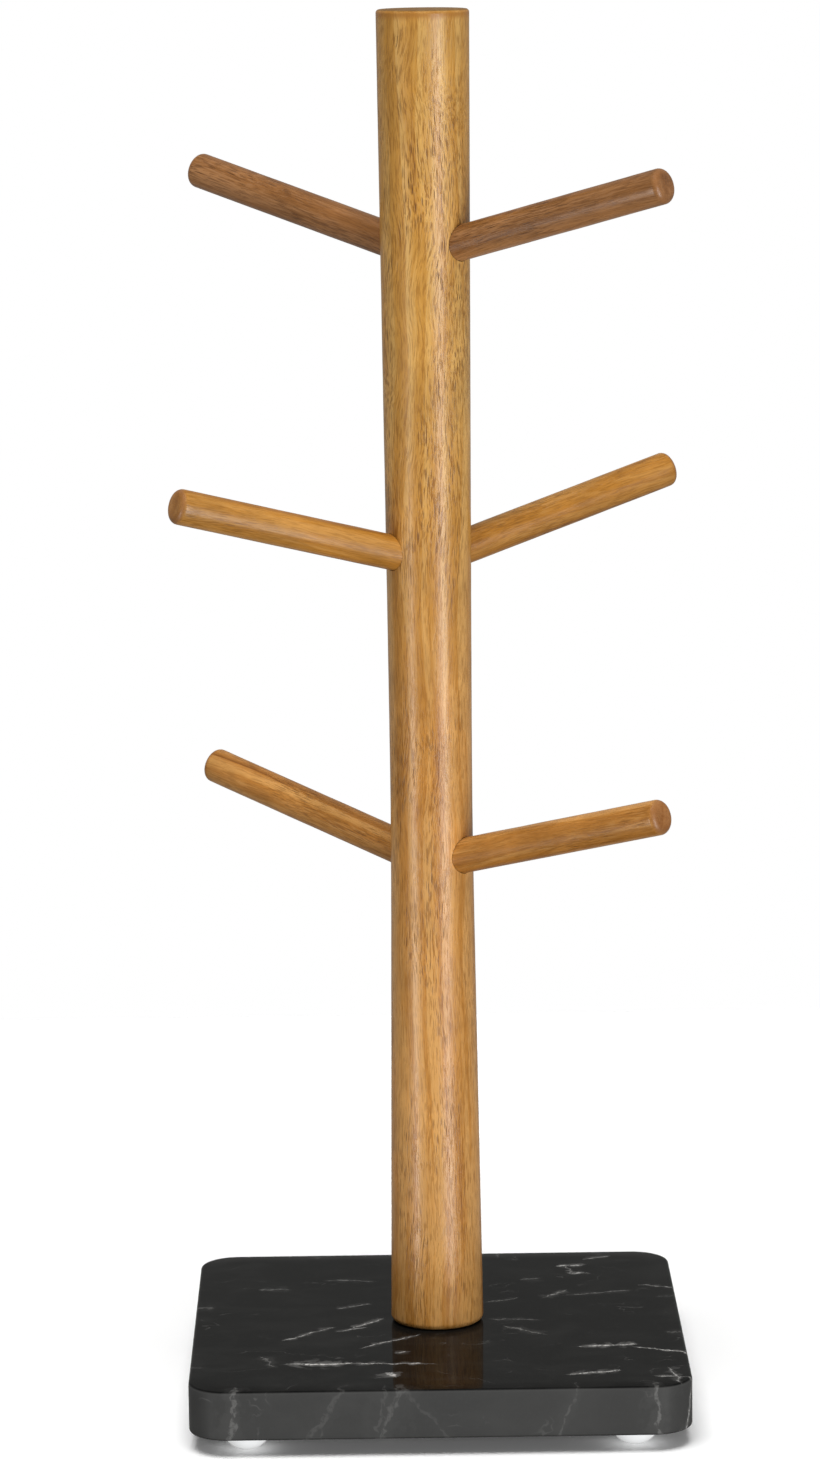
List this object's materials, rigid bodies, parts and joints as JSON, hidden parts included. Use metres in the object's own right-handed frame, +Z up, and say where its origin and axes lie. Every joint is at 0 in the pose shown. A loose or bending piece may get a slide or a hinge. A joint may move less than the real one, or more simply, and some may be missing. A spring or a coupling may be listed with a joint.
{
  "type": "mug tree",
  "caption": "Free-standing mug tree: a slim, gently waisted wooden post with round pegs that tilt upwards, bolted to a square slab of black veined marble on clear feet.",
  "frame": {"origin": "on the table, under the middle of the slab", "axes": "+Z up along the post; -Y is the front, and +X is to the right seen from the front"},
  "size_m": [0.144, 0.14, 0.394],
  "materials": {
    "marble": "black marble with fine white veins, polished top and honed sides",
    "post_wood": "golden brown acacia, straight grain up the post, satin clear oil",
    "peg_wood": "reddish brown acacia dowel, grain along the peg, satin clear oil",
    "clear_foot": "clear soft polyurethane",
    "black_rubber": "matt",
    "steel": "zinc plated",
    "brass": "turned, plain"
  },
  "bodies": {
    "root": {"marble_slab": "marble", "foot_front_right": "clear_foot", "foot_front_left": "clear_foot", "foot_rear_right": "clear_foot", "foot_rear_left": "clear_foot", "post": "post_wood", "foot_insert": "brass", "base_bolt": "steel", "steel_washer": "steel", "rubber_washer": "black_rubber", "peg_low_right": "peg_wood", "peg_low_left": "peg_wood", "peg_middle_right": "peg_wood", "peg_middle_left": "peg_wood", "peg_top_right": "peg_wood", "peg_top_left": "peg_wood", "stud_low_right": "steel", "stud_low_left": "steel", "stud_middle_right": "steel", "stud_middle_left": "steel", "stud_top_right": "steel", "stud_top_left": "steel", "insert_low_right": "brass", "insert_low_left": "brass", "insert_middle_right": "brass", "insert_middle_left": "brass", "insert_top_right": "brass", "insert_top_left": "brass"}
  },
  "joints": []
}
